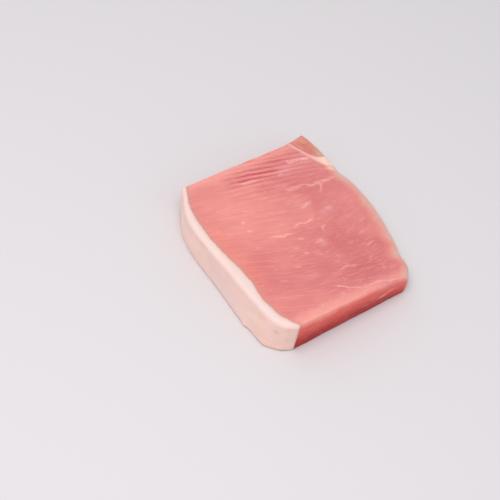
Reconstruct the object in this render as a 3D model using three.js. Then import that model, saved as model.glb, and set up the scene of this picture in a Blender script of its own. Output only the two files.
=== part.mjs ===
// A thick slab of raw pork loin, cut along the grain, with its back fat left on along one side.
// Millimetres, +Z up. The slab lies on its lower cut face. +X runs from the back fat to the loin's
// outer side, +Y from the front cut to the rear cut, and the origin is the middle of the footprint.
// Outlines are drawn from the front cut's corner at the back fat, and the group then centres them.

import * as THREE from "three";

const { clamp, degToRad, lerp, smoothstep } = THREE.MathUtils;

// Thickness: level over the back fat, and falling towards the outer side.
const THICKNESS = 21.5;
const FALL_AT_FRONT_CUT = 8.5;
const FALL_AT_REAR_CUT = 6;
const FALL_REACH = 80;
const FALL_POWER = 1.6;
const SLAB_LENGTH = 115;
const REAR_MUSCLE_SINKS = 0.4;

// Outlines in plan, each running from front to rear.
const FAT_OUTSIDE = [
  [-3.4, 0], [-9, 3.4], [-12.9, 12], [-13.4, 24], [-13.5, 36],
  [-12.9, 52], [-12.5, 70], [-11.6, 84], [-7.6, 98], [0.8, 113],
];
const FAT_MEETS_LEAN = [
  [-1.8, 0], [-6.5, 9], [-8.4, 22], [-6.5, 39], [-6.9, 53],
  [-7.5, 70], [-6.8, 85], [-3.3, 100], [4.6, 113.5],
];
const OUTER_SIDE = [
  [80.8, 0], [88.3, 8], [90.4, 16.5], [94.8, 27], [100, 43],
  [103.2, 60], [103.6, 76], [101.3, 86.5],
];
const LEAN_MEETS_SEAM = [[94.2, 93.5], [90.6, 99.8], [86.6, 107], [82.9, 117]];
const SEAM_OUTSIDE_START = [101.7, 87.2];
const SEAM_MEETS_REAR_MUSCLE = [[102.5, 99.6], [94.2, 101], [88.8, 107.4], [84.4, 117.5]];
const REAR_MUSCLE_OUTSIDE = [[102.6, 100.4], [102.3, 111], [100.6, 121.4]];
const REAR_CUT_BOW = -0.8;

// Pieces that touch in the meat keep this gap.
const GAP = 0.32;

// Rounding radii along the slab's four sides, at the top and at the bottom.
const FRONT_CUT = { top: 1.2, bottom: 1 };
const REAR_CUT = { top: 1, bottom: 0.8 };
const BACK_FAT = { top: 2.6, bottom: 1.6 };
const NATURAL_SIDE = { top: 5, bottom: 3.5 };

// The foot of the fat side spreads outwards near the front and tucks under towards the rear.
const FOOT_SPREADS = 1.9;
const FOOT_TUCKS_UNDER = 1.2;
const FOOT_SPREADS_AT = 14;
const FOOT_TUCKS_AT = 92;

// Coarse fibre bundles stand up as ridges in one patch near the rear cut.
const RIDGE_PITCH = 3.45;
const RIDGE_HEIGHT = 0.45;
const RIDGE_PATCH = { x: 55, y: 100, halfLength: 46, halfWidth: 19 };
const RIDGES_START = 0.7;

// The fibres bend as they cross the slab, and run straighter near the rear cut.
const GRAIN_SLOPE = 0.42;
const GRAIN_CURVE = 0.00355;
const GRAIN_STRAIGHTENS = [62, 92];
const STRAIGHT_GRAIN_SLOPE = 0.155;
const STRAIGHT_GRAIN_SHIFT = 1.2;

// Segments: curve samples for a side, rows of the lean before the ridges, and layers in a wall.
const SIDE_SAMPLES = 60;
const PLAIN_ROWS_SHARE = 0.28;
const WALL_LAYERS = 3;

function curveThrough(points) {
  return new THREE.SplineCurve(points.map(([x, y]) => new THREE.Vector2(x, y)));
}

// The area between two curves that run from front to rear. at(u, v) gives a point in it, and the rear
// cut is bowed in its middle.
function areaBetween(leftPoints, rightPoints, rearBow = 0) {
  const left = curveThrough(leftPoints);
  const right = curveThrough(rightPoints);
  const at = (u, v) => {
    const point = left.getPointAt(v).lerp(right.getPointAt(v), u);
    point.y += rearBow * 4 * u * (1 - u) * v;
    return point;
  };
  return { left, right, at };
}

const areas = {
  fatCap: areaBetween(FAT_OUTSIDE, FAT_MEETS_LEAN),
  lean: areaBetween(FAT_MEETS_LEAN, [...OUTER_SIDE, ...LEAN_MEETS_SEAM], REAR_CUT_BOW),
  seamFat: areaBetween([SEAM_OUTSIDE_START, ...LEAN_MEETS_SEAM], SEAM_MEETS_REAR_MUSCLE),
  rearMuscle: areaBetween(SEAM_MEETS_REAR_MUSCLE, REAR_MUSCLE_OUTSIDE),
};

function alongCut(area, v) {
  return Array.from({ length: SIDE_SAMPLES + 1 }, (_, i) => area.at(i / SIDE_SAMPLES, v));
}

// The slab's four sides as runs of points, each with its rounding.
const sides = [
  { ...FRONT_CUT, points: [...alongCut(areas.fatCap, 0), ...alongCut(areas.lean, 0)] },
  { ...REAR_CUT, points: Object.values(areas).flatMap((area) => alongCut(area, 1)) },
  { ...BACK_FAT, points: areas.fatCap.left.getSpacedPoints(SIDE_SAMPLES) },
  {
    ...NATURAL_SIDE,
    points: [
      ...curveThrough(OUTER_SIDE).getSpacedPoints(SIDE_SAMPLES),
      ...alongCut(areas.seamFat, 0),
      ...areas.rearMuscle.right.getSpacedPoints(SIDE_SAMPLES),
    ],
  },
];

function distanceToSide(points, spot) {
  let nearest = Infinity;
  for (let i = 1; i < points.length; i++) {
    const along = points[i].clone().sub(points[i - 1]);
    const reach = Math.max(along.lengthSq(), Number.EPSILON);
    const share = clamp(spot.clone().sub(points[i - 1]).dot(along) / reach, 0, 1);
    nearest = Math.min(nearest, spot.distanceTo(points[i - 1].clone().addScaledVector(along, share)));
  }
  return nearest;
}

// How far the surface has dropped at a distance from an edge that is rounded to a radius.
function roundedDrop(distance, radius) {
  const inside = Math.max(radius - distance, 0);
  return radius - Math.sqrt(radius ** 2 - inside ** 2);
}

// Thickness of the slab over a spot, before its edges are rounded.
function thicknessAt(spot) {
  const along = clamp(spot.y / SLAB_LENGTH, 0, 1);
  const fall = lerp(FALL_AT_FRONT_CUT, FALL_AT_REAR_CUT, along);
  return THICKNESS - fall * (Math.max(spot.x, 0) / FALL_REACH) ** FALL_POWER;
}

// Heights of the slab's underside and top over a spot.
function surfacesAt(spot) {
  const distances = sides.map((side) => distanceToSide(side.points, spot));
  const bottom = Math.max(...sides.map((side, i) => roundedDrop(distances[i], side.bottom)));
  const drop = Math.max(...sides.map((side, i) => roundedDrop(distances[i], side.top)));
  return { bottom, top: thicknessAt(spot) - drop };
}

// Distance across the grain.
function acrossGrain({ x, y }) {
  const bent = GRAIN_SLOPE * x - GRAIN_CURVE * x * x;
  const straight = STRAIGHT_GRAIN_SLOPE * x + STRAIGHT_GRAIN_SHIFT;
  return y + lerp(bent, straight, smoothstep(y, ...GRAIN_STRAIGHTENS));
}

function ridgeRelief(spot) {
  const dx = (spot.x - RIDGE_PATCH.x) / RIDGE_PATCH.halfLength;
  const dy = (spot.y - RIDGE_PATCH.y) / RIDGE_PATCH.halfWidth;
  const fade = smoothstep(1 - Math.hypot(dx, dy), 0, 0.5);
  return fade * RIDGE_HEIGHT * Math.cos((2 * Math.PI * acrossGrain(spot)) / RIDGE_PITCH);
}

// How far the foot of the fat side stands in from its top edge, along X.
function footShift(y) {
  const spread = FOOT_SPREADS * smoothstep(y, 0, FOOT_SPREADS_AT);
  const tuck = (FOOT_SPREADS + FOOT_TUCKS_UNDER) * smoothstep(y, FOOT_SPREADS_AT, FOOT_TUCKS_AT);
  return tuck - spread;
}

// Grid lines from 0 to 1 over a length. They are closer together across the rounding at either end,
// and `spread` places the ones between.
const ROUNDING_STEPS = [0, 30, 60, 90].map((angle) => 1 - Math.cos(degToRad(angle)));

function gridLines(cells, length, startRadius, endRadius, spread = (share) => share) {
  const steps = (radius) => (radius ? ROUNDING_STEPS.map((step) => (step * radius) / length) : [0]);
  const start = steps(startRadius);
  const end = steps(endRadius).map((step) => 1 - step).reverse();
  const middle = cells - start.length - end.length + 2;
  const between = Array.from({ length: middle - 1 }, (_, i) =>
    lerp(start.at(-1), end[0], spread((i + 1) / middle)),
  );
  return [...start, ...between, ...end];
}

// A block of meat or fat that fills an area, less the gap at its left and right. The grid of a box is
// bent to the area, and its faces are set to the slab's two surfaces, with the piece's own relief.
function block(name, area, { columns, rows, gaps, relief, foot }, finish) {
  const cells = [columns.length - 1, rows.length - 1];
  const geometry = new THREE.BoxGeometry(1, 1, 1, ...cells, WALL_LAYERS);
  const position = geometry.getAttribute("position");
  for (let i = 0; i < position.count; i++) {
    const u = columns[Math.round((position.getX(i) + 0.5) * cells[0])];
    const v = rows[Math.round((position.getY(i) + 0.5) * cells[1])];
    const level = position.getZ(i) + 0.5;
    const width = area.left.getPointAt(v).distanceTo(area.right.getPointAt(v));
    const spot = area.at((gaps[0] + (width - gaps[0] - gaps[1]) * u) / width, v);
    const { bottom, top } = surfacesAt(spot);
    const shift = footShift(spot.y) * foot(u) * (1 - level);
    position.setXYZ(i, spot.x + shift, spot.y, lerp(bottom, top + relief(spot), level));
  }
  geometry.computeVertexNormals();
  const mesh = new THREE.Mesh(geometry, new THREE.MeshStandardMaterial({ metalness: 0, ...finish }));
  mesh.name = name;
  return mesh;
}

const smooth = () => 0;
const plumb = () => 0;

function lean() {
  const closerAtRidges = (share) =>
    share < PLAIN_ROWS_SHARE
      ? (share / PLAIN_ROWS_SHARE) * RIDGES_START
      : 1 - ((1 - share) / (1 - PLAIN_ROWS_SHARE)) * (1 - RIDGES_START);
  const { left, right } = areas.lean;
  const width = left.getPointAt(0.5).distanceTo(right.getPointAt(0.5));
  return block("lean", areas.lean, {
    columns: gridLines(26, width, 0, NATURAL_SIDE.top),
    rows: gridLines(88, left.getLength(), FRONT_CUT.top, REAR_CUT.top, closerAtRidges),
    gaps: [GAP / 2, 0],
    relief: ridgeRelief,
    foot: (u) => 1 - u,
  }, { color: 0xe38982, roughness: 0.42 });
}

function fatCap() {
  const { left, right } = areas.fatCap;
  const width = left.getPointAt(0.5).distanceTo(right.getPointAt(0.5));
  return block("fat_cap", areas.fatCap, {
    columns: gridLines(6, width, BACK_FAT.top, 0),
    rows: gridLines(48, left.getLength(), FRONT_CUT.top, REAR_CUT.top),
    gaps: [0, GAP / 2],
    relief: smooth,
    foot: () => 1,
  }, { color: 0xf1cfc2, roughness: 0.5 });
}

function seamFat() {
  return block("seam_fat", areas.seamFat, {
    columns: gridLines(3, 1, 0, 0),
    rows: gridLines(16, areas.seamFat.left.getLength(), NATURAL_SIDE.top, REAR_CUT.top),
    gaps: [GAP, 0],
    relief: smooth,
    foot: plumb,
  }, { color: 0xf3c3b0, roughness: 0.5 });
}

function rearMuscle() {
  const { left, right } = areas.rearMuscle;
  const width = left.getPointAt(1).distanceTo(right.getPointAt(1));
  return block("rear_muscle", areas.rearMuscle, {
    columns: gridLines(8, width, 0, NATURAL_SIDE.top),
    rows: gridLines(12, left.getLength(), 0, REAR_CUT.top),
    gaps: [GAP, 0],
    relief: () => -REAR_MUSCLE_SINKS,
    foot: plumb,
  }, { color: 0xcf7a66, roughness: 0.42 });
}

const slab = new THREE.Group();
slab.add(lean(), fatCap(), seamFat(), rearMuscle());

const footprint = new THREE.Box3().setFromObject(slab);
const middle = footprint.getCenter(new THREE.Vector3());
slab.position.set(-middle.x, -middle.y, -footprint.min.z);

export default slab;
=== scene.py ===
"""Finish of a thick raw pork loin slab: lean meat with its marbling, back fat, seam fat and side muscle.

Sizes are millimetres in the slab's own plan, whose origin is on the front cut beside the back fat:
x runs to the loin's outer side and y to the rear cut. Meshes are in metres, in the part's frame.
"""

import math

import bpy
import numpy as np
from mathutils import Matrix, Vector, noise


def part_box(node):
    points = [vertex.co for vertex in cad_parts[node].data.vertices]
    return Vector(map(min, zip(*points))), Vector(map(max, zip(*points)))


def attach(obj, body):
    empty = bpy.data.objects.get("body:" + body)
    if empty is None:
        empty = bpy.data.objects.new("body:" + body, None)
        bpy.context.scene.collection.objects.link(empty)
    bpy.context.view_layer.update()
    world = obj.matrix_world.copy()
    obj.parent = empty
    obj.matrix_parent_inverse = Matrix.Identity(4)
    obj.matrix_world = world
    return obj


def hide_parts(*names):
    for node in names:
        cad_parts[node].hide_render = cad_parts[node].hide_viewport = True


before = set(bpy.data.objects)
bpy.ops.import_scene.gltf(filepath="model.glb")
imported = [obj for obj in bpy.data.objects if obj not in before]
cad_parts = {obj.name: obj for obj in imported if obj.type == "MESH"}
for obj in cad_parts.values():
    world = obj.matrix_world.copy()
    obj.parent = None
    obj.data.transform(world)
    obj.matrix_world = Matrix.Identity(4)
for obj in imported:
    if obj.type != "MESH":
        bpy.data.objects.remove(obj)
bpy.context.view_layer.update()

bl_info = {
    "name": "Raw Pork Loin Slab",
    "version": (1, 0, 0),
    "blender": (4, 5, 0),
    "location": "View3D > Sidebar > Pork Loin",
    "description": "Models the meat and fat of a raw pork loin slab and sets its studio",
    "category": "Add Mesh",
}

MM = 0.001

# Thickness: level over the back fat, and falling towards the outer side.
THICKNESS = 21.5
FALL_AT_FRONT_CUT = 8.5
FALL_AT_REAR_CUT = 6
FALL_REACH = 80
FALL_POWER = 1.6
SLAB_LENGTH = 115
REAR_MUSCLE_SINKS = 0.4

# Outlines in plan, each running from front to rear.
FAT_OUTSIDE = [
    (-3.4, 0), (-9, 3.4), (-12.9, 12), (-13.4, 24), (-13.5, 36),
    (-12.9, 52), (-12.5, 70), (-11.6, 84), (-7.6, 98), (0.8, 113),
]
FAT_MEETS_LEAN = [
    (-1.8, 0), (-6.5, 9), (-8.4, 22), (-6.5, 39), (-6.9, 53),
    (-7.5, 70), (-6.8, 85), (-3.3, 100), (4.6, 113.5),
]
OUTER_SIDE = [
    (80.8, 0), (88.3, 8), (90.4, 16.5), (94.8, 27), (100, 43),
    (103.2, 60), (103.6, 76), (101.3, 86.5),
]
LEAN_MEETS_SEAM = [(94.2, 93.5), (90.6, 99.8), (86.6, 107), (82.9, 117)]
SEAM_MEETS_REAR_MUSCLE = [(102.5, 99.6), (94.2, 101), (88.8, 107.4), (84.4, 117.5)]
REAR_MUSCLE_OUTSIDE = [(102.6, 100.4), (102.3, 111), (100.6, 121.4)]
REAR_CUT_BOW = -0.8

# Rounding radii along the slab's four sides, at the top and at the bottom.
ROUNDING = {"front": (1.2, 1), "rear": (1, 0.8), "fat": (2.6, 1.6), "natural": (5, 3.5)}

# The foot of the fat side spreads outwards near the front and tucks under towards the rear.
FOOT_SPREADS = 1.9
FOOT_TUCKS_UNDER = 1.2
FOOT_SPREADS_AT = 14
FOOT_TUCKS_AT = 92

# Small lobes at the foot of the fat: the place of each along y and how far it stands out.
FOOT_LOBES = [(27.3, 0.9), (10.5, 0.6)]
FOOT_LOBE_HALF_LENGTH = 2.2
FOOT_LOBE_POWER = 3

# Coarse fibre bundles stand up as ridges in one patch, taller towards the rear cut and uneven in
# height. Their tops are a little flat, and their groove and crest colours, partly painted shade and light,
# show most in a smaller patch.
RIDGE_MIDDLE = (58, 99)
RIDGE_HALF_SIZE = (46, 25)
RIDGES_GROW = (90, 101)
RIDGES_LEAST = 0.5
RIDGES_DEEPEST = [((48, 102.5), (35, 14), 1)]
RIDGES_PALEST = 0.5
RIDGES_COLOURED = (0.9, 1)
RIDGES_FLAT_TOPPED = 0.25
RIDGES_USUAL = 0.85
RIDGES_RANGE = (0.15, 1.3)

# The fibres bend as they cross the slab, and run straighter near the rear cut.
GRAIN_SLOPE = 0.42
GRAIN_CURVE = 0.00355
GRAIN_STRAIGHTENS = (62, 92)
STRAIGHT_GRAIN_SLOPE = 0.155
STRAIGHT_GRAIN_SHIFT = 1.2

# Where one piece has grown into the next it reaches on under it, and draws in this steeply.
FAT_REACH = (0, 0.3)
SEAM_REACH = (0.3, 0.3)
TUCK_SLOPE = 2.5

# Layers of smooth noise: the height of each, the size of its features along each axis, and its shift.
LUMPS = [(0.2, (15, 13, 12), 0), (0.07, (5, 5, 5), 0.4)]
FAT_LINE_WAVER = [(0.5, (1, 7, 1), 0.3), (0.3, (1, 2.9, 1), 0.7)]
RIDGES_WANDER = [(0.8, (20, 5, 1), 0.2), (0.7, (7, 3, 1), 0.4)]
RIDGES_VARY = [(0.7, (11, 3, 1), 8.5)]
LEAN_BUNDLES = [(0.7, (17, 2.1, 2.1), 0), (0.4, (9, 1.2, 1.2), 0.5)]
FAT_UNEVENNESS = [(1, (9, 12, 7), 0.3), (0.4, (3.5, 4.5, 3), 0.8)]
SEAM_UNEVENNESS = [(0.1, (4, 4, 3), 0.2)]
SIDE_MUSCLE_BUNDLES = [(0.18, (9, 1.8, 1.8), 0)]

# The seam fat stands up along its middle, and the lean has a crease where it meets fat.
SEAM_SWELLS = 0.25
CREASE_HALF_WIDTH = 0.5

# The lean's bundles grow from its outer side inwards, and the fat is uneven towards its outer side.
BUNDLES_GROW_OVER = 8
FAT_EVEN_TO_UNEVEN = (1, 0.3)

# Marbling on the top face: the line of each streak, its width, and how strongly it shows.
STREAKS = [
    ([(72.6, 103.6), (75, 103.6), (77.6, 103.3)], 1.6, 0.9),
    ([(76, 103.4), (79, 103), (82, 102.5), (86, 102.5), (91, 101.4)], 1.5, 0.75),
    ([(55, 84.2), (63, 84.4), (68, 84.7), (72, 83.6), (77, 82.3), (88, 82.8), (95, 83.2)], 1.9, 0.44),
    ([(82.6, 82.6), (80, 80.5), (78.6, 78.6), (76, 75.6)], 1.5, 0.5),
    ([(24.5, 58.6), (30, 56.5), (34, 55.9), (38, 54.9)], 1.2, 0.58),
    ([(41.5, 58.4), (44, 59.8), (47, 59.9), (49.5, 59), (53, 59.4), (57.4, 60.6)], 1.1, 0.6),
    ([(33, 13.9), (37, 11.5), (41, 8.6), (46, 6.4), (50.8, 4.4)], 1.0, 0.54),
    ([(50.8, 4.4), (58, 5.2), (62.5, 4.7), (67.5, 2.8), (77.5, 1.6)], 1.2, 0.4),
    ([(55.8, 69), (60, 70.8), (64.7, 71)], 1.6, 0.41),
    ([(70, 63), (73.4, 63.4)], 1.5, 0.35),
    ([(56.8, 48.6), (57, 52), (60.6, 53)], 1.4, 0.52),
    ([(47, 44), (50, 44.2)], 1.5, 0.57),
    ([(73, 38.4), (76, 39.4), (79.4, 40)], 1.3, 0.36),
    ([(73, 30), (77, 30.8), (80.5, 31)], 1.2, 0.38),
    ([(41, 21.6), (46, 21.4), (51, 21.4), (58, 20)], 1.1, 0.36),
    ([(29, 44.6), (32, 45.2), (34, 44.4)], 1.1, 0.33),
    ([(34, 40.2), (36, 40)], 1.6, 0.5),
    ([(22.8, 33.6), (25.4, 34)], 1.6, 0.4),
    ([(33, 6.9), (34.7, 7.4), (34.9, 6), (33, 5.3)], 1.0, 0.35),
    ([(15.8, 74.2), (17, 74.9)], 1.3, 0.8),
    ([(14.5, 68), (17.5, 66.8)], 1.2, 0.6),
    ([(7.6, 88.8), (10, 88)], 1.4, 0.2),
    ([(33, 101.2), (36, 99.6), (40, 99.2), (46, 99)], 1.2, 0.46),
    ([(77, 53), (81, 53.2)], 1.1, 0.27),
    ([(83, 46.8), (87.6, 49)], 1.1, 0.27),
    ([(38, 50.4), (40.5, 49.4)], 1.2, 0.44),
    ([(8, 30.2), (11.8, 28.4)], 1.0, 0.24),
    ([(9.4, 18), (13.2, 15.8)], 1.0, 0.4),
    ([(66, 19.2), (68, 21), (70.6, 22)], 1.1, 0.21),
    ([(49, 30.8), (54, 30.2)], 1.2, 0.18),
    ([(60, 97), (63.5, 97.4)], 1.4, 0.45),
    ([(24, 80.4), (22, 82.4)], 1.3, 0.34),
]
STREAK_FADES = (1, 2.6)
STREAK_ENDS_OVER = 1.2
STREAK_TAPERS_OVER = 4
STREAK_TIPS_SHOW = 0.35
STREAK_LAYERS = 3

# Soft patches of colour: the middle of each in plan, its half sizes, and how strongly it shows.
# Those of the back fat are placed by y and height.
LEAN_TINTS = {
    "light": [
        ((18, 84), (52, 62), 0.9), ((45, 64), (36, 17), 0.55), ((8, 12), (34, 16), 0.4),
        ((88, 38), (12, 18), 0.35), ((88, 62), (16, 20), 0.3), ((1, 108), (10, 12), 0.5),
    ],
    "orange": [((-5, 52), (12, 50), 0.5)],
    "salmon": [((18, 0), (52, 8), 1)],
    "deep": [
        ((58, 17), (26, 15), 0.8), ((70, 84), (16, 8), 0.5), ((47, 103), (20, 7), 0.65),
        ((6, 42), (17, 22), 0.38), ((62, 36), (26, 16), 0.6), ((35, 28), (16, 10), 0.2),
        ((24, 19), (12, 7), 0.25), ((30, 105), (10, 6), 0.4), ((45, 90), (10, 6), 0.35),
        ((85, 29), (12, 7), 0.5), ((60, 9), (14, 7), 0.35), ((45, 42), (9, 7), 0.3),
    ],
    "front_deep": [((74, 0), (30, 6), 0.9)],
    # Bluish patches: a thin film of fat, partly painted wet sheen.
    "lilac": [
        ((67, 99.5), (14, 6), 0.75), ((80, 106), (12, 5), 0.35), ((86, 100), (9, 4), 0.5),
        ((71, 63), (9, 5), 0.4), ((49, 43), (7, 4), 0.4), ((78, 97), (10, 7), 0.5),
        ((57, 71), (10, 5), 0.4), ((27, 25), (7, 4), 0.35), ((60, 1.5), (16, 4), 0.4),
    ],
    "brown": [((91, 96.5), (6, 7), 0.75), ((88, 104.5), (4, 3), 0.7), ((83, 111), (5, 5), 0.4)],
    "cream": [((98, 89.5), (5.5, 5), 1)],
    "warm_skin": [((89, 12), (6, 9), 0.5)],
}
FAT_TINTS = {
    "lilac": [((50, 6), (38, 10), 0.9), ((60, 16), (26, 5), 0.4)],
    "light": [((98, 9), (42, 16), 1)],
}
SIDE_MUSCLE_TINTS = {
    "deep": [((91.5, 112), (4, 3.5), 0.8), ((94.5, 107.5), (4, 4), 0.6)],
    "orange": [((94.2, 114.5), (4, 4), 0.95), ((97.5, 110), (4, 5), 0.4)],
    "olive": [((97.5, 103), (6, 7), 0.95), ((101, 111), (4.5, 11), 0.85)],
    "pale": [((92, 119), (9, 4), 0.6), ((88.5, 113), (2.5, 8), 0.4)],
}
TINTS_WANDER = 3
TINTS_WANDER_SIZE = (13, 9, 13)
TINTS_WANDER_SHIFTS = (0.2, 0.6)

# The front cut's colour and its painted shade deepen towards the outer side: the depth that is added, and
# from x to x.
CUT_DEEPENS = (-2, 1)
CUT_DEEPENS_OVER = (0, 60)

# Pale wisps on the front cut, by x and height.
FRONT_WISPS = [((62, 7.6), (6, 1.5), 0.65), ((67, 9.3), (5, 1.2), 0.5), ((54, 10.2), (5, 1.0), 0.3)]

# Distances from the front cut at which the wisps begin and show fully.
WISPS_START = (0.8, 0.2)

# The side muscle's rear cut: where its deeper colour begins and ends, and the depth where it is full. The
# deepening lower down is painted shade.
SIDE_CUT_STARTS = (1.4, 0.5)
SIDE_CUT_ENDS = (0, 2.5)
SIDE_CUT_DEEPEST_AT = 14

# A bluer rim along the back fat's top edge.
FAT_RIM_SHOWS = 0.6
FAT_RIM_WIDTH = (3, 1)
FAT_RIM_DEPTH = (3, 1.5)

# Small grey marks on the back fat: the place of each, its radius, and how strongly it shows.
FAT_MARKS = [((-11.3, 7.3, 13.8), 1.5, 0.55), ((-10.6, 8.6, 13.4), 0.8, 0.4)]

# The camera keeps the photograph's view of the slab: its place and directions in the slab's plan.
CAMERA_PLACE = (-384.76, -301.29, 599.57)
CAMERA_FORWARD = (0.49915, 0.455737, -0.736989)
CAMERA_UP = (0.368488, 0.658145, 0.656553)
CAMERA_FIELD = math.radians(20)

# The large soft light, in metres in the part's frame.
KEY_LIGHT_PLACE = (-0.36, -0.12, 0.95)
KEY_LIGHT_SIZE = 0.8

# Mesh cells: columns across, rows along and layers in a wall. Half of the lean's rows are in the ridges.
LEAN_CELLS = (185, 200, 16)
FAT_CELLS = (16, 210, 24)
SEAM_CELLS = (12, 70, 22)
REAR_MUSCLE_CELLS = (36, 46, 22)
PLAIN_ROWS_SHARE = 0.5
RIDGES_START = 0.7
ROUNDING_STEPS = 7
SIDE_SAMPLES = 60
CURVE_STEPS = 80
TUCK_COLUMNS = 2
SHARPEST_SMOOTH_ANGLE = math.radians(50)


def screen_colour(red, green, blue):
    """A colour as a screen shows it, from 0 to 255, as the linear values that Blender keeps."""
    values = (value / 255 for value in (red, green, blue))
    return tuple(v / 12.92 if v <= 0.04045 else ((v + 0.055) / 1.055) ** 2.4 for v in values)


def smoothstep(value, low, high):
    share = np.clip((value - low) / (high - low), 0, 1)
    return share * share * (3 - 2 * share)


def lerp(start, end, share):
    return start + (end - start) * share


class Curve:
    """A smooth line in plan, read by the share of its length."""

    def __init__(self, line):
        self.line = line
        self.reach = np.concatenate([[0], np.cumsum(np.hypot(*np.diff(line, axis=0).T))])
        self.length = self.reach[-1]

    def at(self, share):
        reach = np.asarray(share) * self.length
        return np.stack([np.interp(reach, self.reach, axis) for axis in self.line.T], -1)

    def sampled(self):
        return self.at(np.linspace(0, 1, SIDE_SAMPLES + 1))

    def rest_from(self, point):
        """The curve from its nearest place to a point onwards."""
        nearest = np.argmin(np.hypot(*(self.line - point).T))
        return Curve(self.line[nearest:])


def curve_through(points):
    """A Catmull-Rom curve."""
    knots = np.array([points[0], *points, points[-1]], float)
    spans = len(points) - 1
    place = np.linspace(0, spans, spans * CURVE_STEPS + 1)
    first = np.minimum(place.astype(int), spans - 1)
    t = (place - first)[:, None]
    before, start, end, after = (knots[first + step] for step in range(4))
    leave = (end - before) / 2
    arrive = (after - start) / 2
    cubic = 2 * start - 2 * end + leave + arrive
    square = 3 * end - 3 * start - 2 * leave - arrive
    return Curve(cubic * t**3 + square * t**2 + leave * t + start)


class Area:
    """The area between two curves that run from the front cut to the rear cut."""

    def __init__(self, left, right, rear_bow=0):
        self.left = left
        self.right = right
        self.rear_bow = rear_bow

    def at(self, across, along):
        spots = lerp(self.left.at(along), self.right.at(along), across[:, None])
        spots[:, 1] += self.rear_bow * 4 * across * (1 - across) * along
        return spots

    def direction(self, along):
        step = self.right.at(along) - self.left.at(along)
        return step / np.maximum(np.hypot(*step.T), 1e-6)[:, None]

    def width(self, along):
        return float(np.hypot(*(self.right.at(along) - self.left.at(along))))

    def cut(self, along):
        share = np.linspace(0, 1, SIDE_SAMPLES + 1)
        return self.at(share, np.full(len(share), along))


fat_line = curve_through(FAT_MEETS_LEAN)
lean_outside = curve_through([*OUTER_SIDE, *LEAN_MEETS_SEAM])
seam_line = lean_outside.rest_from(OUTER_SIDE[-1])
rear_muscle_line = curve_through(SEAM_MEETS_REAR_MUSCLE)

fat_area = Area(curve_through(FAT_OUTSIDE), fat_line)
lean_area = Area(fat_line, lean_outside, REAR_CUT_BOW)
seam_area = Area(seam_line, rear_muscle_line)
rear_muscle_area = Area(rear_muscle_line, curve_through(REAR_MUSCLE_OUTSIDE))
all_areas = (fat_area, lean_area, seam_area, rear_muscle_area)

# The slab's four sides as runs of points.
SIDES = {
    "front": np.concatenate([fat_area.cut(0), lean_area.cut(0)]),
    "rear": np.concatenate([area.cut(1) for area in all_areas]),
    "fat": fat_area.left.sampled(),
    "natural": np.concatenate(
        [curve_through(OUTER_SIDE).sampled(), seam_area.cut(0), rear_muscle_area.right.sampled()]
    ),
}


def plan_origin():
    """Where the plan's origin lies in the part's frame, in millimetres, read from the lean's box."""
    low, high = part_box("lean")
    return Vector((high.x / MM - lean_outside.sampled()[:, 0].max(), low.y / MM, 0))


def follow_line(spots, line):
    """For each spot, its distance to the left of a run of points, and how far it lies beyond the ends."""
    nearest = np.full(len(spots), np.inf)
    side = np.ones(len(spots))
    beyond = np.zeros(len(spots))
    for start, end in zip(line[:-1], line[1:]):
        step = end - start
        span = max(np.hypot(*step), 1e-9)
        share = (spots - start) @ step / span**2
        inside = np.clip(share, 0, 1)
        offset = spots - start - inside[:, None] * step
        distance = np.hypot(*offset.T)
        closer = distance < nearest
        nearest = np.where(closer, distance, nearest)
        side = np.where(closer, step[0] * offset[:, 1] - step[1] * offset[:, 0], side)
        beyond = np.where(closer, abs(share - inside) * span, beyond)
    return nearest * np.where(side < 0, -1, 1), beyond


def distance_to(spots, line):
    return abs(follow_line(spots, line)[0])


def rounded_drop(distance, radius):
    """How far the surface has dropped at a distance from an edge that is rounded to a radius."""
    inside = np.maximum(radius - distance, 0)
    return radius - np.sqrt(radius**2 - inside**2)


def thickness_at(spots):
    fall = lerp(FALL_AT_FRONT_CUT, FALL_AT_REAR_CUT, np.clip(spots[:, 1] / SLAB_LENGTH, 0, 1))
    return THICKNESS - fall * (np.maximum(spots[:, 0], 0) / FALL_REACH) ** FALL_POWER


def edge_drop(distances, face):
    """How far the top (face 0) or the underside (face 1) has drawn in at the slab's rounded sides."""
    return np.max([rounded_drop(distances[name], ROUNDING[name][face]) for name in SIDES], axis=0)


def foot_shift(y):
    """How far the foot of the fat side stands in from its top edge, along x."""
    spread = FOOT_SPREADS * smoothstep(y, 0, FOOT_SPREADS_AT)
    tuck = (FOOT_SPREADS + FOOT_TUCKS_UNDER) * smoothstep(y, FOOT_SPREADS_AT, FOOT_TUCKS_AT)
    return tuck - spread


def foot_lobes(y):
    """How far the lobes at the foot of the fat stand out, along x."""
    return sum(out * np.exp(-(((y - at) / FOOT_LOBE_HALF_LENGTH) ** 2)) for at, out in FOOT_LOBES)


def across_grain(spots):
    """Distance across the grain, counted along y."""
    x, y = spots.T
    bent = GRAIN_SLOPE * x - GRAIN_CURVE * x * x
    straight = STRAIGHT_GRAIN_SLOPE * x + STRAIGHT_GRAIN_SHIFT
    return y + lerp(bent, straight, smoothstep(y, *GRAIN_STRAIGHTENS))


def noise_at(points, size, shift=0):
    """Smooth noise from -1 to 1, with features of a size along each axis."""
    cells = (points / np.array(size, float) + shift).tolist()
    return np.fromiter((noise.noise(cell) for cell in cells), float, len(cells))


def layered_noise(points, layers):
    return sum(height * noise_at(points, size, shift) for height, size, shift in layers)


def fat_line_waver(spots):
    """How the line between fat and lean wavers, along x."""
    line = spots * (0, 1)
    return layered_noise(np.column_stack([line, np.zeros(len(line))]), FAT_LINE_WAVER)


def wavering_fat_line():
    line = fat_line.sampled()
    line[:, 0] += fat_line_waver(line)
    return line


def tint_share(spots, patches):
    """How strongly a set of soft patches shows at each spot, from 0 to 1."""
    clear = np.ones(len(spots))
    for middle, half_size, strength in patches:
        reach = np.hypot(*((spots - middle) / half_size).T)
        clear *= 1 - strength * smoothstep(1 - reach, 0, 1)
    return 1 - clear


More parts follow.
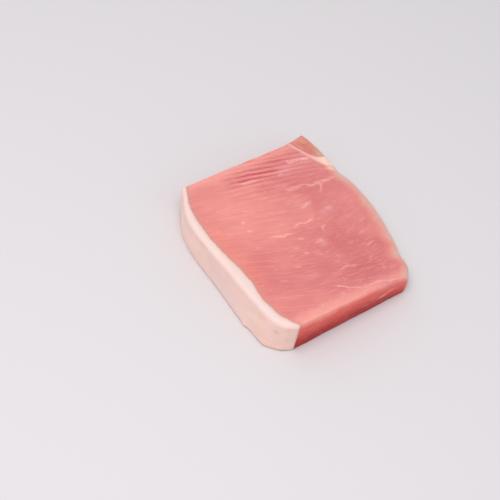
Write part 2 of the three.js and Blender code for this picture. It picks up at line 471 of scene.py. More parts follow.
def rounded_lines(cells, length, start_radius=0, end_radius=0, spread=lambda share: share):
    """Grid lines from 0 to 1 over a length, closer together across the rounding at either end."""
    turn = 1 - np.cos(np.linspace(0, math.pi / 2, ROUNDING_STEPS))
    start = turn * start_radius / length if start_radius else np.zeros(1)
    end = 1 - (turn[::-1] * end_radius / length if end_radius else np.zeros(1))
    middle = cells - len(start) - len(end) + 2
    between = lerp(start[-1], end[0], spread(np.arange(1, middle) / middle))
    return np.concatenate([start, between, end])


def coordinates(piece):
    values = np.zeros(len(piece.data.vertices) * 3, np.float32)
    piece.data.vertices.foreach_get("co", values)
    return values.reshape(-1, 3).astype(float)


def normals(piece):
    values = np.zeros(len(piece.data.vertices) * 3, np.float32)
    piece.data.vertex_normals.foreach_get("vector", values)
    return values.reshape(-1, 3).astype(float)


def grid_block(name, columns, rows, layers):
    """A block one unit across: a grid, extruded into a solid whose walls are then cut into layers."""
    bpy.ops.object.select_all(action="DESELECT")
    bpy.ops.mesh.primitive_grid_add(x_subdivisions=columns, y_subdivisions=rows, size=1)
    piece = bpy.context.active_object
    piece.name = name
    piece.data.name = name
    bpy.ops.object.mode_set(mode="EDIT")
    bpy.ops.mesh.select_all(action="SELECT")
    bpy.ops.mesh.extrude_region_move(TRANSFORM_OT_translate={"value": (0, 0, 1)})
    bpy.ops.mesh.select_mode(type="EDGE")
    bpy.ops.mesh.select_all(action="DESELECT")
    bpy.ops.object.mode_set(mode="OBJECT")
    ends = np.zeros(len(piece.data.edges) * 2, np.int32)
    piece.data.edges.foreach_get("vertices", ends)
    height = coordinates(piece)[ends, 2].reshape(-1, 2)
    piece.data.edges.foreach_set("select", abs(height[:, 0] - height[:, 1]) > 0.5)
    bpy.ops.object.mode_set(mode="EDIT")
    bpy.ops.mesh.subdivide(number_cuts=layers - 1)
    bpy.ops.mesh.select_all(action="SELECT")
    bpy.ops.mesh.normals_make_consistent(inside=False)
    bpy.ops.object.mode_set(mode="OBJECT")
    return piece


class Block:
    """A piece of the slab: a block bent to its area in plan, between the slab's two surfaces.

    A reach past its left or right edge carries it on under its neighbour, where it draws in from its
    own surfaces, so that the two look grown together.
    """

    def __init__(self, name, area, columns, rows, layers, reach=(0, 0)):
        past = np.arange(1, TUCK_COLUMNS + 1) / TUCK_COLUMNS
        left = -past[::-1] * reach[0] if reach[0] else np.zeros(0)
        right = past * reach[1] if reach[1] else np.zeros(0)
        across = np.concatenate([np.zeros(len(left)), columns, np.ones(len(right))])
        past_edge = np.concatenate([left, np.zeros(len(columns)), right])
        self.piece = grid_block(name, len(across) - 1, len(rows) - 1, layers)
        unit = coordinates(self.piece)
        column = np.rint((unit[:, 0] + 0.5) * (len(across) - 1)).astype(int)
        row = np.rint((unit[:, 1] + 0.5) * (len(rows) - 1)).astype(int)
        self.across = across[column]
        self.level = np.clip(unit[:, 2], 0, 1)
        past_edge = past_edge[column]
        self.tuck = TUCK_SLOPE * abs(past_edge)
        along = rows[row]
        along = along + (1 - 2 * along) * self.tuck / area.left.length
        self.spots = area.at(self.across, along) + area.direction(along) * past_edge[:, None]

    def waver(self, share):
        """Shifts the plan along x with the wavering line between fat and lean."""
        self.spots[:, 0] += share * fat_line_waver(self.spots)

    def fill(self, relief=0, foot=0):
        """Sets the heights between the slab's two surfaces, with a relief on the top one."""
        self.distances = {name: distance_to(self.spots, line) for name, line in SIDES.items()}
        whole = thickness_at(self.spots)
        top = whole - edge_drop(self.distances, 0) - self.tuck + relief
        bottom = edge_drop(self.distances, 1) + self.tuck
        height = lerp(bottom, top, self.level)
        self.depth = whole - height
        shift = foot_shift(self.spots[:, 1]) * foot * (1 - self.level)
        self.points = np.column_stack([self.spots[:, 0] + shift, self.spots[:, 1], height])
        self.place()

    def store(self, **attributes):
        """Keeps numbers or vectors of the vertices, which the material reads by their names."""
        for name, values in attributes.items():
            kind, field = ("FLOAT", "value") if values.ndim == 1 else ("FLOAT_VECTOR", "vector")
            attribute = self.piece.data.attributes.new(name, kind, "POINT")
            attribute.data.foreach_set(field, values.astype(np.float32).ravel())

    def store_tints(self, tints, axes=(0, 1)):
        """Keeps how strongly each set of colour patches shows, with their outlines wandering."""
        wander = [noise_at(self.points, TINTS_WANDER_SIZE, shift) for shift in TINTS_WANDER_SHIFTS]
        spots = self.points[:, axes] + TINTS_WANDER * np.column_stack(wander)
        self.store(**{name: tint_share(spots, patches) for name, patches in tints.items()})

    def place(self):
        origin = np.array(plan_origin())
        self.piece.data.vertices.foreach_set("co", ((self.points + origin) * MM).astype(np.float32).ravel())
        self.piece.data.update()

    def raise_surface(self, relief):
        """Moves the surface out by the lumps and a relief, and keeps the underside off the ground."""
        height = layered_noise(self.points, LUMPS) + relief
        self.points += normals(self.piece) * height[:, None]
        self.points[:, 2] = np.maximum(self.points[:, 2], 0)
        self.place()

    def dress(self, node, material):
        """Smooths the shading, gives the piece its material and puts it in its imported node's place."""
        bpy.ops.object.select_all(action="DESELECT")
        self.piece.select_set(True)
        bpy.context.view_layer.objects.active = self.piece
        bpy.ops.object.shade_smooth_by_angle(angle=SHARPEST_SMOOTH_ANGLE)
        self.piece.data.materials.append(material)
        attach(self.piece, "root")
        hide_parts(node)


def grain_coordinates(block):
    """Places along the fibres, across them and in height."""
    return np.column_stack([block.points[:, 0], across_grain(block.points[:, :2]), block.points[:, 2]])


def ridge_profile(spots, pitch):
    """Ridges, from -1 in a groove to 1 on a crest."""
    grain = np.column_stack([spots[:, 0], across_grain(spots), np.zeros(len(spots))])
    offset = (spots - RIDGE_MIDDLE) / RIDGE_HALF_SIZE
    fade = smoothstep(1 - np.hypot(*offset.T), 0, 0.5)
    phase = 2 * math.pi * grain[:, 1] / pitch + layered_noise(grain, RIDGES_WANDER)
    crests = 2 * np.sqrt(abs(np.cos(phase / 2))) - 1
    profile = lerp(np.cos(phase), crests, RIDGES_FLAT_TOPPED)
    uneven = np.clip(RIDGES_USUAL + layered_noise(grain, RIDGES_VARY), *RIDGES_RANGE)
    return profile * fade * uneven * lerp(RIDGES_LEAST, 1, smoothstep(spots[:, 1], *RIDGES_GROW))


def sort_into_layers(lines):
    """Puts the number of each line into the layer whose lines are farthest from it."""
    layers = [[] for _ in range(STREAK_LAYERS)]
    for index, line in enumerate(lines):
        gaps = [
            min((distance_to(line, lines[other]).min() for other in layer), default=np.inf)
            for layer in layers
        ]
        layers[np.argmax(gaps)].append(index)
    return layers


def streak_layers(spots):
    """Signed distances to the marbling's streaks and their strengths, in layers without close streaks."""
    curves = [curve_through(points) for points, _, _ in STREAKS]
    lines = [curve.sampled() for curve in curves]
    distances = np.zeros((len(spots), STREAK_LAYERS))
    strengths = np.zeros((len(spots), STREAK_LAYERS))
    for channel, layer in enumerate(sort_into_layers(lines)):
        nearest = np.full(len(spots), np.inf)
        for index in layer:
            _, width, shown = STREAKS[index]
            distance, beyond = follow_line(spots, lines[index])
            to_end = np.min([np.hypot(*(spots - end).T) for end in lines[index][[0, -1]]], axis=0)
            taper = min(STREAK_TAPERS_OVER, curves[index].length / 3)
            strength = shown * (1 - smoothstep(abs(distance), *STREAK_FADES))
            strength *= 1 - smoothstep(beyond, 0, STREAK_ENDS_OVER)
            strength *= lerp(STREAK_TIPS_SHOW, 1, smoothstep(to_end, 0, taper))
            closer = abs(distance) < nearest
            nearest = np.where(closer, abs(distance), nearest)
            distances[:, channel] = np.where(closer, distance / width, distances[:, channel])
            strengths[:, channel] = np.where(closer, strength, strengths[:, channel])
    return distances, strengths


class Finish:
    """One material, built node by node, whose colours are laid over each other like coats."""

    def __init__(self, name, colour):
        self.material = bpy.data.materials.new(name)
        self.material.use_nodes = True
        self.tree = self.material.node_tree
        self.shader = self.tree.nodes["Principled BSDF"]
        self.colour = colour

    def coat(self, share, colour):
        """Lays a colour over the ones so far, as strongly as its share says."""
        self.colour = self.blend(share, self.colour, colour)

    def tinge(self, value, start, full, strength, colour):
        """Lays a colour over the ones so far as a value goes from its start to where it is full."""
        self.coat(self.between(value, start, full, 0, strength), colour)

    def set(self, socket, value):
        if isinstance(value, bpy.types.NodeSocket):
            self.tree.links.new(value, socket)
        elif socket.type == "RGBA":
            socket.default_value = (*value, 1)
        else:
            socket.default_value = value

    def node(self, kind, inputs, **settings):
        node = self.tree.nodes.new(kind)
        for name, value in settings.items():
            setattr(node, name, value)
        for key, value in inputs.items():
            self.set(node.inputs[key], value)
        return node

    def shade(self, **inputs):
        for name, value in inputs.items():
            self.set(self.shader.inputs[name.replace("_", " ")], value)

    def number(self, name):
        return self.node("ShaderNodeAttribute", {}, attribute_name=name).outputs["Fac"]

    def vector(self, name):
        return self.node("ShaderNodeAttribute", {}, attribute_name=name).outputs["Vector"]

    def parts(self, vector):
        return self.node("ShaderNodeSeparateXYZ", {0: vector}).outputs

    def place(self):
        """Object coordinates in millimetres."""
        place = self.node("ShaderNodeTexCoord", {}).outputs["Object"]
        return self.scaled(place, (1 / MM,) * 3)

    def scaled(self, vector, factors):
        return self.node("ShaderNodeVectorMath", {0: vector, 1: factors}, operation="MULTIPLY").outputs[0]

    def sized(self, vector, size):
        return self.scaled(vector, tuple(1 / value for value in size))

    def maths(self, operation, first, second=0.0):
        return self.node("ShaderNodeMath", {0: first, 1: second}, operation=operation).outputs[0]

    def add(self, first, second):
        return self.maths("ADD", first, second)

    def multiply(self, first, second):
        return self.maths("MULTIPLY", first, second)

    def between(self, value, low, high, start=0.0, end=1.0):
        """Goes smoothly from start to end as the value goes from low to high."""
        inputs = {"Value": value, "From Min": low, "From Max": high, "To Min": start, "To Max": end}
        return self.node("ShaderNodeMapRange", inputs, interpolation_type="SMOOTHSTEP").outputs[0]

    def swing(self, value, reach):
        """Turns noise into a shift of up to a reach either way."""
        return self.between(value, 0.3, 0.7, -reach, reach)

    def noise(self, vector, size, detail=2.0, roughness=0.5):
        inputs = {"Vector": self.sized(vector, size), "Scale": 1.0}
        inputs |= {"Detail": detail, "Roughness": roughness}
        return self.node("ShaderNodeTexNoise", inputs).outputs["Fac"]

    def ragged(self, vector):
        """Small noise that roughens the line between two finishes."""
        return self.noise(vector, (2.6, 1.7, 2.6), detail=3.0)

    def cells(self, vector, size):
        inputs = {"Vector": self.sized(vector, size), "Scale": 1.0, "Randomness": 1.0}
        return self.node("ShaderNodeTexVoronoi", inputs, feature="DISTANCE_TO_EDGE").outputs["Distance"]

    def blend(self, share, first, second):
        inputs = {0: share, 6: first, 7: second}
        return self.node("ShaderNodeMix", inputs, data_type="RGBA").outputs[2]

    def bump(self, height, depth, below=None):
        inputs = {"Height": height, "Distance": depth * MM, "Strength": 1.0}
        if below:
            inputs["Normal"] = below
        return self.node("ShaderNodeBump", inputs).outputs["Normal"]

    def soft(self, weight, radius, scale):
        """Light that enters the surface and scatters under it."""
        self.shade(Subsurface_Weight=weight, Subsurface_Radius=radius, Subsurface_Scale=scale * MM)


def lean_finish(colours):
    finish = Finish("Lean Meat", colours.lean)
    grain = finish.vector("grain")
    place = finish.place()
    to_front, to_rear, to_natural = finish.parts(finish.vector("to_sides"))

    # Patches of colour and fibres
    broad = finish.noise(place, (20, 13, 13), detail=3.0)
    bundles = finish.noise(grain, (22, 1.4, 1.4), detail=3.0)
    fibres = finish.noise(grain, (9, 0.55, 0.55))
    finish.coat(finish.add(finish.number("light"), finish.swing(broad, 0.2)), colours.lean_light)
    for name in ("deep", "lilac", "brown", "orange"):
        finish.coat(finish.number(name), getattr(colours, "lean_" + name))
    finish.tinge(bundles, 0.5, 0.3, 0.2, colours.lean_deep)
    finish.tinge(bundles, 0.5, 0.7, 0.25, colours.lean_pale)
    finish.tinge(fibres, 0.45, 0.75, 0.2, colours.lean_pale)

    # Coarse ridges, with darker grooves and paler crests that are partly painted shade and light
    ridge = finish.number("ridge")
    finish.tinge(ridge, 0.2, -1, 0.85, colours.groove_lean_and_shade)
    finish.tinge(ridge, 0.1, 1, 0.5, colours.crest_lean_and_light)

    # Paler bands along the cuts
    uneven = finish.swing(bundles, 1.2)
    finish.tinge(finish.add(to_front, uneven), 9, 2, 0.6, colours.lean_pale)
    finish.tinge(finish.add(to_rear, uneven), 8, 1, 0.62, colours.lean_pale)
    cut_edge = finish.multiply(finish.between(to_front, 2.4, 0.4, 0, 0.8), finish.number("salmon"))
    finish.coat(cut_edge, colours.lean_salmon)
    finish.coat(finish.number("front_deep"), colours.lean)

    # Marbling
    clusters = finish.between(finish.noise(place, (16, 12, 12)), 0.45, 0.62)
    clusters = finish.maths("MAXIMUM", clusters, finish.between(to_front, 13, 5))
    flecks = finish.between(finish.noise(grain, (3.5, 1.2, 1.2)), 0.56, 0.82, 0, 0.5)
    marbling = finish.multiply(flecks, clusters)
    distances = finish.parts(finish.vector("streak_distance"))
    strengths = finish.parts(finish.vector("streak_strength"))
    waver = finish.noise(place, (4.5, 4.5, 4.5), detail=5.0, roughness=0.6)
    waver = finish.between(waver, 0.25, 0.75, -0.4, 0.4)
    broken = finish.between(finish.noise(grain, (4.5, 0.9, 0.9), detail=3.0), 0.3, 0.65, 0.3, 1.3)
    for distance, strength in zip(distances, strengths):
        off_line = finish.maths("ABSOLUTE", finish.add(distance, waver))
        streak = finish.multiply(finish.between(off_line, 1, 0), strength)
        marbling = finish.maths("MAXIMUM", marbling, finish.multiply(streak, broken))
    finish.coat(marbling, colours.marbling)

    # Silverskin, which thins out low down on the outer side
    to_skin = finish.add(to_natural, finish.between(to_front, 22, 4, 0, 3))
    edge = finish.add(to_skin, finish.swing(broad, 2))
    tan = finish.between(finish.noise(place, (9, 8, 9)), 0.42, 0.62)
    skin = finish.blend(tan, colours.silverskin, colours.silverskin_tan)
    finish.tinge(edge, 12, 8, 0.3, colours.lean_orange)
    finish.tinge(edge, 11, 0.5, 0.9, skin)
    finish.tinge(to_skin, 3.4, 0.8, 0.7, colours.silverskin_pale)
    finish.coat(finish.number("warm_skin"), colours.lean_orange)
    depth = finish.number("cut_depth")
    low_side = finish.multiply(finish.between(depth, 3, 7), finish.between(to_natural, 4, 1))
    thin_skin = finish.between(finish.noise(place, (9, 14, 3), detail=3.0), 0.44, 0.64, 0, 0.55)
    finish.coat(finish.multiply(low_side, thin_skin), colours.lean)

    # Borders with the seam and the back fat
    finish.coat(finish.number("cream"), colours.seam_cream)
    fringe = finish.swing(finish.ragged(place), 0.7)
    to_seam = finish.add(finish.number("to_seam"), fringe)
    finish.tinge(to_seam, 1.5, -0.2, 0.7, colours.seam_pink)
    to_fat = finish.add(finish.number("to_fat"), fringe)
    finish.tinge(to_fat, 3.2, 0.2, 0.6, colours.lean_by_fat)

    # Cut faces, redder than the top, with painted shade that darkens them lower down
    to_cut = finish.add(finish.maths("MINIMUM", to_front, to_rear), fringe)
    on_cut = finish.multiply(finish.between(to_cut, 1.8, 0.7), finish.between(to_natural, 0, 2.5))
    cut_depth = finish.add(depth, finish.swing(broad, 1.2))
    upper = finish.multiply(finish.between(cut_depth, -1, 5), on_cut)
    painted_shade_below = finish.multiply(finish.between(cut_depth, 4.1, 15.9), on_cut)
    finish.coat(upper, colours.lean_cut)
    finish.coat(painted_shade_below, colours.dark_lean_and_shade)
    cut_marks = finish.multiply(finish.between(bundles, 0.5, 0.3, 0, 0.25), upper)
    cut_fibres = finish.multiply(finish.between(bundles, 0.5, 0.72, 0, 0.16), upper)
    finish.coat(cut_marks, colours.dark_lean_and_shade)
    finish.coat(cut_fibres, colours.lean_pale)
    finish.coat(finish.number("wisp"), colours.marbling)

    roughness = finish.between(finish.noise(grain, (6, 1.5, 1.5)), 0.3, 0.7, 0.38, 0.52)
    normal = finish.bump(fibres, 0.04)
    normal = finish.bump(bundles, 0.08, normal)
    normal = finish.bump(marbling, 0.04, normal)
    finish.shade(Base_Color=finish.colour, Roughness=roughness, Normal=normal, IOR=1.4)
    finish.soft(0.35, (1.0, 0.32, 0.26), 2.6)
    return finish.material


def fat_finish(colours):
    finish = Finish("Back Fat", colours.fat)
    place = finish.place()
    blotches = finish.noise(place, (7, 9, 6), detail=3.0)
    lobules = finish.cells(place, (2.4, 3.4, 2.4))
    finish.tinge(blotches, 0.38, 0.66, 1, colours.fat_tint)
    finish.tinge(lobules, 0.12, 0, 0.1, colours.fat_pink)
    finish.coat(finish.number("lilac"), colours.fat_lilac)
    finish.coat(finish.number("light"), colours.fat_light)
    mottled = finish.noise(place, (5, 7, 5), detail=4.0)
    finish.tinge(mottled, 0.52, 0.7, 0.7, colours.fat_lilac)
    finish.tinge(mottled, 0.44, 0.28, 0.14, colours.fat_grey)
    top = finish.add(finish.number("depth"), finish.swing(blotches, 1.8))
    finish.tinge(top, 3.4, -0.6, 1, colours.fat_pale)
    finish.coat(finish.number("rim"), colours.fat_lilac)
    finish.coat(finish.number("mark"), colours.fat_grey)
    to_lean = finish.number("to_lean")
    finish.tinge(to_lean, 2, 0, 0.75, colours.fat_pink)
    fringe = finish.add(to_lean, finish.swing(finish.ragged(place), 0.6))
    finish.tinge(fringe, 0.4, -0.2, 0.3, colours.lean_by_fat)
    fine = finish.noise(place, (0.9, 1.4, 0.9), detail=3.0)
    roughness = finish.between(blotches, 0.3, 0.7, 0.5, 0.62)
    normal = finish.bump(fine, 0.06)
    normal = finish.bump(finish.between(lobules, 0, 0.25), 0.04, normal)
    finish.shade(Base_Color=finish.colour, Roughness=roughness, Normal=normal, IOR=1.42)
    finish.soft(0.4, (1.0, 0.72, 0.62), 2.0)
    return finish.material


def seam_finish(colours):
    finish = Finish("Seam Fat", colours.seam_pink)
    place = finish.place()
    blotches = finish.noise(place, (4, 5, 4), detail=3.0)
    finish.tinge(finish.number("to_natural"), 16, 5, 1, colours.seam_cream)
    finish.tinge(blotches, 0.45, 0.7, 0.35, colours.fat_pink)
    to_meat = finish.add(finish.number("to_meat"), finish.swing(finish.ragged(place), 0.8))
    finish.tinge(to_meat, 1.1, -0.3, 0.75, colours.lean_lilac)
    low = finish.add(finish.number("depth"), finish.swing(blotches, 3))
    finish.tinge(low, 3, 9, 0.55, colours.seam_pink)
    normal = finish.bump(finish.noise(place, (0.8, 1.2, 0.8), detail=3.0), 0.06)
    roughness = finish.between(blotches, 0.3, 0.7, 0.42, 0.52)
    finish.shade(Base_Color=finish.colour, Roughness=roughness, Normal=normal, IOR=1.42)
    finish.soft(0.4, (1.0, 0.55, 0.42), 2.2)
    return finish.material


def side_muscle_finish(colours):
    finish = Finish("Side Muscle", colours.side_red)
    grain = finish.vector("grain")
    broad = finish.noise(finish.place(), (7, 6, 6))
    fibres = finish.noise(grain, (5, 0.9, 0.9))
    for name in SIDE_MUSCLE_TINTS:
        finish.coat(finish.number(name), getattr(colours, "side_" + name))
    finish.tinge(broad, 0.45, 0.7, 0.3, colours.side_pale)
    finish.tinge(fibres, 0.5, 0.72, 0.3, colours.lean_pale)
    # Redder cut lean on the rear cut, with painted shade darkening it lower down.
    cut = finish.number("cut")
    finish.tinge(cut, 0, 0.5, 0.75, colours.lean_cut)
    finish.tinge(cut, 0.4, 1, 0.6, colours.dark_lean_and_shade)
    normal = finish.bump(fibres, 0.1)
    roughness = finish.between(broad, 0.3, 0.7, 0.38, 0.5)
    finish.shade(Base_Color=finish.colour, Roughness=roughness, Normal=normal, IOR=1.4)
    finish.soft(0.35, (1.0, 0.35, 0.25), 2.2)
    return finish.material


def length_property(name, description, default):
    return bpy.props.FloatProperty(
        name=name, description=description, default=default * MM, min=0, unit="LENGTH", precision=5
    )


def colour_property(name, description, red, green, blue):
    return bpy.props.FloatVectorProperty(
        name=name, description=description, default=screen_colour(red, green, blue), size=3, min=0, max=1,
        subtype="COLOR"
    )


class LoinRelief(bpy.types.PropertyGroup):
    """Sizes of the surface relief."""

    ridge_height: length_property("Ridge Height", "Height of the coarse fibre ridges", 0.45)
    ridge_pitch: length_property("Ridge Pitch", "Distance from one fibre ridge to the next", 3.45)
    bundle_height: length_property("Bundle Height", "Relief of the fibre bundles over the lean", 0.06)
    crease_depth: length_property("Crease Depth", "Depth of the crease where fat meets lean", 0.05)
    fat_unevenness: length_property("Fat Unevenness", "Unevenness of the back fat's outer side", 0.35)


class LoinColours(bpy.types.PropertyGroup):
    """Colours of the meat and fat."""

    lean: colour_property("Lean", "Main colour of the lean", 216, 124, 124)
    lean_light: colour_property("Light Lean", "Lean where it is lighter and warmer", 236, 150, 142)
    lean_by_fat: colour_property("Lean Beside Fat", "Lean where it meets the back fat", 202, 150, 140)
    lean_deep: colour_property("Deep Lean", "Lean where it is deeper and pinker", 203, 102, 106)
    lean_orange: colour_property("Orange Lean", "Lean beside the back fat and the skin", 234, 138, 118)
    # Partly a thin bluish film of fat, partly painted wet sheen.
    lean_lilac: colour_property("Lilac Lean", "Lean with a thin bluish film of fat", 231, 159, 163)
    lean_brown: colour_property("Brown Lean", "Lean beside the seam of fat", 214, 148, 138)
    lean_pale: colour_property("Pale Lean", "Paler fibres and the bands along the cuts", 243, 168, 157)
    # Groove and crest colours are partly painted shade and painted light.
    groove_lean_and_shade: colour_property("Lean Grooves", "Lean in the grooves between coarse fibres", 192, 78, 90)
    crest_lean_and_light: colour_property("Lean Crests", "Lean on the crests of the coarse fibres", 246, 164, 156)
    lean_salmon: colour_property("Cut Edge", "Lean at the rounded edge of the front cut", 249, 165, 151)
    lean_cut: colour_property("Cut Lean", "Lean half way down the cut faces", 236, 95, 84)
    # Dark fibre marks on the cut faces, and the painted shade low down on them.
    dark_lean_and_shade: colour_property("Dark Lean", "Lean low down on the cut faces", 172, 8, 6)
    marbling: colour_property("Marbling", "Streaks and flecks of fat in the lean", 252, 190, 182)
    silverskin: colour_property("Silverskin", "Thin skin along the outer side", 221, 184, 174)
    silverskin_tan: colour_property("Tan Silverskin", "Warmer patches of the skin", 227, 176, 160)
    silverskin_pale: colour_property("Pale Silverskin", "Skin at the very edge", 226, 192, 184)
    fat: colour_property("Back Fat", "Main colour of the back fat", 246, 210, 200)
    fat_tint: colour_property("Tinted Fat", "Faint tints in the back fat", 245, 206, 192)
    fat_light: colour_property("Light Fat", "Back fat towards the rear", 255, 216, 206)
    fat_lilac: colour_property("Lilac Fat", "Bluish patches of the back fat", 240, 210, 205)
    fat_pink: colour_property("Pink Fat", "Back fat in its creases and beside the lean", 238, 182, 170)
    fat_pale: colour_property("Pale Fat", "Back fat where it is cut at the top", 230, 209, 204)
    fat_grey: colour_property("Fat Marks", "Small marks on the back fat", 206, 174, 160)
    seam_pink: colour_property("Pink Seam", "Seam fat near the rear cut", 240, 168, 162)
    seam_cream: colour_property("Cream Seam", "Seam fat at the outer side", 249, 210, 194)
    side_red: colour_property("Side Muscle", "Main colour of the side muscle", 212, 122, 114)
    side_deep: colour_property("Deep Side Muscle", "Deeper patches of the side muscle", 202, 108, 94)
    side_orange: colour_property("Orange Side Muscle", "Orange patches of the side muscle", 224, 148, 106)
    side_olive: colour_property("Side Muscle Skin", "Skin on the side muscle's outer side", 207, 165, 146)
    side_pale: colour_property("Pale Side Muscle", "Paler patches of the side muscle", 218, 154, 144)


class LoinStudio(bpy.types.PropertyGroup):
    """Floor and lights."""

    floor: colour_property("Floor", "Colour of the floor", 217, 213, 216)
    floor_size: bpy.props.FloatProperty(
        name="Floor Size", description="Width of the floor", default=6, min=1, unit="LENGTH"
    )
    key_power: bpy.props.FloatProperty(
        name="Key Light", description="Power of the large soft light", default=5.4, min=0, unit="POWER"
    )
    sky: bpy.props.FloatProperty(
        name="Sky", description="Strength of the even light from all round", default=0.7, min=0
    )


class AddLean(bpy.types.Operator):
    """Models the lean, with its fibre ridges, marbling and silverskin"""

    bl_idname = "pork_loin.add_lean"
    bl_label = "Add Lean"

    def execute(self, context):
        relief = context.scene.loin_relief
        columns, rows, layers = LEAN_CELLS
        block = Block(
            "lean_meat",
            lean_area,
            rounded_lines(columns, lean_area.width(0.5), 0, ROUNDING["natural"][0]),
            rounded_lines(
                rows, fat_line.length, ROUNDING["front"][0], ROUNDING["rear"][0], self.closer_rows
            ),
            layers,
        )
        block.waver(1 - block.across)
        ridges = ridge_profile(block.spots, relief.ridge_pitch / MM)
        to_fat = distance_to(block.spots, wavering_fat_line())
        to_seam = distance_to(block.spots, seam_line.sampled())
        crease = np.exp(-((np.minimum(to_fat, to_seam) / CREASE_HALF_WIDTH) ** 2))
        top_relief = relief.ridge_height / MM * ridges - relief.crease_depth / MM * crease
        block.fill(top_relief, foot=1 - block.across)
        grain = grain_coordinates(block)
        bundles = layered_noise(grain, LEAN_BUNDLES)
        bundles *= smoothstep(block.distances["natural"], 0, BUNDLES_GROW_OVER)
        block.raise_surface(relief.bundle_height / MM * bundles)

        distances, strengths = streak_layers(block.spots)
        # The cut faces' painted shade reaches higher towards the outer side.
        deeper = lerp(*CUT_DEEPENS, smoothstep(block.spots[:, 0], *CUT_DEEPENS_OVER))
        # The ridges' groove and crest colours, partly painted shade and light, show on the top and most in
        # one patch.
        coloured = lerp(RIDGES_PALEST, 1, tint_share(block.spots, RIDGES_DEEPEST))
        on_front = smoothstep(block.distances["front"], *WISPS_START)
        block.store(
            grain=grain,
            to_sides=np.column_stack([block.distances[name] for name in ("front", "rear", "natural")]),
            cut_depth=block.depth + deeper,
            ridge=ridges * coloured * smoothstep(block.level, *RIDGES_COLOURED),
            streak_distance=distances,
            streak_strength=strengths,
            to_fat=to_fat,
            to_seam=to_seam,
            wisp=on_front * tint_share(block.points[:, [0, 2]], FRONT_WISPS),
        )
        block.store_tints(LEAN_TINTS)
        block.dress("lean", lean_finish(context.scene.loin_colours))
        return {"FINISHED"}

    @staticmethod
    def closer_rows(share):
        """Rows are closer together in the ridges."""
        plain = share / PLAIN_ROWS_SHARE * RIDGES_START
        ridged = 1 - (1 - share) / (1 - PLAIN_ROWS_SHARE) * (1 - RIDGES_START)
        return np.where(share < PLAIN_ROWS_SHARE, plain, ridged)


class AddFatCap(bpy.types.Operator):
    """Models the layer of back fat along one side"""

    bl_idname = "pork_loin.add_fat_cap"
    bl_label = "Add Back Fat"

    def execute(self, context):
        relief = context.scene.loin_relief
        columns, rows, layers = FAT_CELLS
        block = Block(
            "back_fat",
            fat_area,
            rounded_lines(columns, fat_area.width(0.5), ROUNDING["fat"][0]),
            rounded_lines(rows, fat_line.length, ROUNDING["front"][0], ROUNDING["rear"][0]),
            layers,
            FAT_REACH,
        )
        block.waver(block.across)
        block.fill(foot=1)
        block.points[:, 0] -= foot_lobes(block.spots[:, 1]) * (1 - block.level) ** FOOT_LOBE_POWER
        block.place()
        uneven = layered_noise(block.points, FAT_UNEVENNESS)
        uneven *= smoothstep(block.across, *FAT_EVEN_TO_UNEVEN)
        block.raise_surface(relief.fat_unevenness / MM * uneven)
        marks = [
            shown * np.exp(-(((block.points - place) / radius) ** 2).sum(1))
            for place, radius, shown in FAT_MARKS
        ]
        rim = smoothstep(block.distances["fat"], *FAT_RIM_WIDTH) * smoothstep(block.depth, *FAT_RIM_DEPTH)
        block.store(
            depth=block.depth,
            rim=FAT_RIM_SHOWS * rim,
            to_lean=distance_to(block.spots, wavering_fat_line()),
            mark=np.max(marks, axis=0),
        )
        block.store_tints(FAT_TINTS, axes=(1, 2))
        block.dress("fat_cap", fat_finish(context.scene.loin_colours))
        return {"FINISHED"}


class AddSeamFat(bpy.types.Operator):
    """Models the seam of fat between the lean and the side muscle"""

    bl_idname = "pork_loin.add_seam_fat"
    bl_label = "Add Seam Fat"

    def execute(self, context):
        columns, rows, layers = SEAM_CELLS
        block = Block(
            "seam_fat_band",
            seam_area,
            np.linspace(0, 1, columns + 1),
            rounded_lines(rows, seam_line.length, ROUNDING["natural"][0], ROUNDING["rear"][0]),
            layers,
            SEAM_REACH,
        )
        block.fill(SEAM_SWELLS * np.sin(math.pi * np.clip(block.across, 0, 1)))
        block.raise_surface(layered_noise(block.points, SEAM_UNEVENNESS))
        borders = [distance_to(block.spots, line.sampled()) for line in (seam_line, rear_muscle_line)]
        block.store(
            to_natural=block.distances["natural"],
            depth=block.depth,
            to_meat=np.min(borders, axis=0),
        )
        block.dress("seam_fat", seam_finish(context.scene.loin_colours))
        return {"FINISHED"}


class AddSideMuscle(bpy.types.Operator):
    """Models the small muscle behind the seam of fat"""

    bl_idname = "pork_loin.add_side_muscle"
    bl_label = "Add Side Muscle"

    def execute(self, context):
        columns, rows, layers = REAR_MUSCLE_CELLS
        block = Block(
            "side_muscle",
            rear_muscle_area,
            rounded_lines(columns, rear_muscle_area.width(1), 0, ROUNDING["natural"][0]),
            rounded_lines(rows, rear_muscle_line.length, 0, ROUNDING["rear"][0]),
            layers,
        )
        block.fill(-REAR_MUSCLE_SINKS)
        grain = block.points[:, [1, 0, 2]]
        block.raise_surface(layered_noise(grain, SIDE_MUSCLE_BUNDLES))
        # The rear cut's mask grows with depth, for its painted shade lower down.
        on_cut = smoothstep(block.distances["rear"], *SIDE_CUT_STARTS)
        on_cut *= smoothstep(block.distances["natural"], *SIDE_CUT_ENDS)
        block.store(grain=grain, cut=on_cut * np.clip(block.depth / SIDE_CUT_DEEPEST_AT, 0, 1))
        block.store_tints(SIDE_MUSCLE_TINTS)
        block.dress("rear_muscle", side_muscle_finish(context.scene.loin_colours))
        return {"FINISHED"}


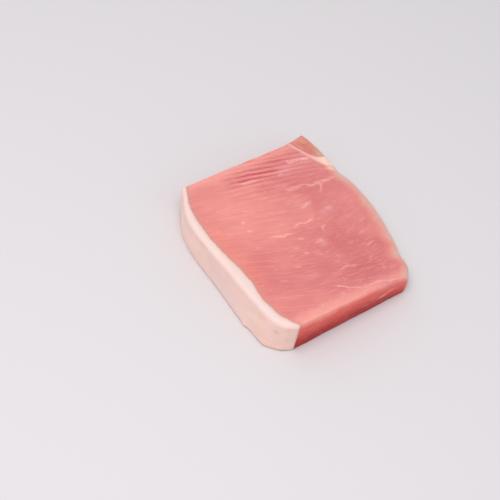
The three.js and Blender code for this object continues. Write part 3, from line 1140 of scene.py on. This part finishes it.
class SetStage(bpy.types.Operator):
    """Sets the floor, the soft lights and the camera"""

    bl_idname = "pork_loin.set_stage"
    bl_label = "Set Stage"

    def execute(self, context):
        studio = context.scene.loin_studio
        self.add_camera(context.scene)
        self.add_floor(studio)
        self.add_key_light(studio)
        self.set_sky(context.scene, studio)
        context.scene.view_settings.view_transform = "Standard"
        return {"FINISHED"}

    def add_camera(self, scene):
        bpy.ops.object.camera_add()
        camera = bpy.context.active_object
        forward = Vector(CAMERA_FORWARD).normalized()
        right = forward.cross(Vector(CAMERA_UP)).normalized()
        turn = Matrix((right, right.cross(forward), -forward)).transposed()
        place = (Vector(CAMERA_PLACE) + plan_origin()) * MM
        camera.matrix_world = Matrix.Translation(place) @ turn.to_4x4()
        camera.data.angle = CAMERA_FIELD
        scene.camera = camera

    def add_floor(self, studio):
        bpy.ops.object.select_all(action="DESELECT")
        bpy.ops.mesh.primitive_plane_add(size=studio.floor_size)
        floor = bpy.context.active_object
        floor.name = "floor"
        finish = Finish("Pale Floor", studio.floor)
        finish.shade(Base_Color=finish.colour, Roughness=0.6)
        floor.data.materials.append(finish.material)

    def add_key_light(self, studio):
        place = Vector(KEY_LIGHT_PLACE)
        bpy.ops.object.light_add(type="AREA", location=place)
        light = bpy.context.active_object
        light.data.shape = "DISK"
        light.data.size = KEY_LIGHT_SIZE
        light.data.energy = studio.key_power
        light.rotation_euler = (-place).to_track_quat("-Z", "Y").to_euler()

    def set_sky(self, scene, studio):
        scene.world = bpy.data.worlds.new("Studio")
        scene.world.use_nodes = True
        background = scene.world.node_tree.nodes["Background"]
        background.inputs["Color"].default_value = (1, 1, 1, 1)
        background.inputs["Strength"].default_value = studio.sky


class LoinPanel(bpy.types.Panel):
    """Lists the pieces of the slab and their settings"""

    bl_idname = "VIEW3D_PT_pork_loin"
    bl_label = "Pork Loin"
    bl_space_type = "VIEW_3D"
    bl_region_type = "UI"
    bl_category = "Pork Loin"

    def draw(self, context):
        for operator in OPERATORS:
            self.layout.operator(operator.bl_idname)
        for settings in (context.scene.loin_relief, context.scene.loin_colours, context.scene.loin_studio):
            box = self.layout.box()
            for name in settings.bl_rna.properties.keys():
                if name not in ("rna_type", "name"):
                    box.prop(settings, name)


OPERATORS = (AddLean, AddFatCap, AddSeamFat, AddSideMuscle, SetStage)
GROUPS = {"loin_relief": LoinRelief, "loin_colours": LoinColours, "loin_studio": LoinStudio}
CLASSES = (*GROUPS.values(), *OPERATORS, LoinPanel)


def register():
    for item in CLASSES:
        bpy.utils.register_class(item)
    for name, group in GROUPS.items():
        setattr(bpy.types.Scene, name, bpy.props.PointerProperty(type=group))


def unregister():
    for name in GROUPS:
        delattr(bpy.types.Scene, name)
    for item in reversed(CLASSES):
        bpy.utils.unregister_class(item)


def main():
    register()
    bpy.ops.pork_loin.set_stage()
    bpy.ops.pork_loin.add_lean()
    bpy.ops.pork_loin.add_fat_cap()
    bpy.ops.pork_loin.add_seam_fat()
    bpy.ops.pork_loin.add_side_muscle()


if __name__ == "__main__":
    main()
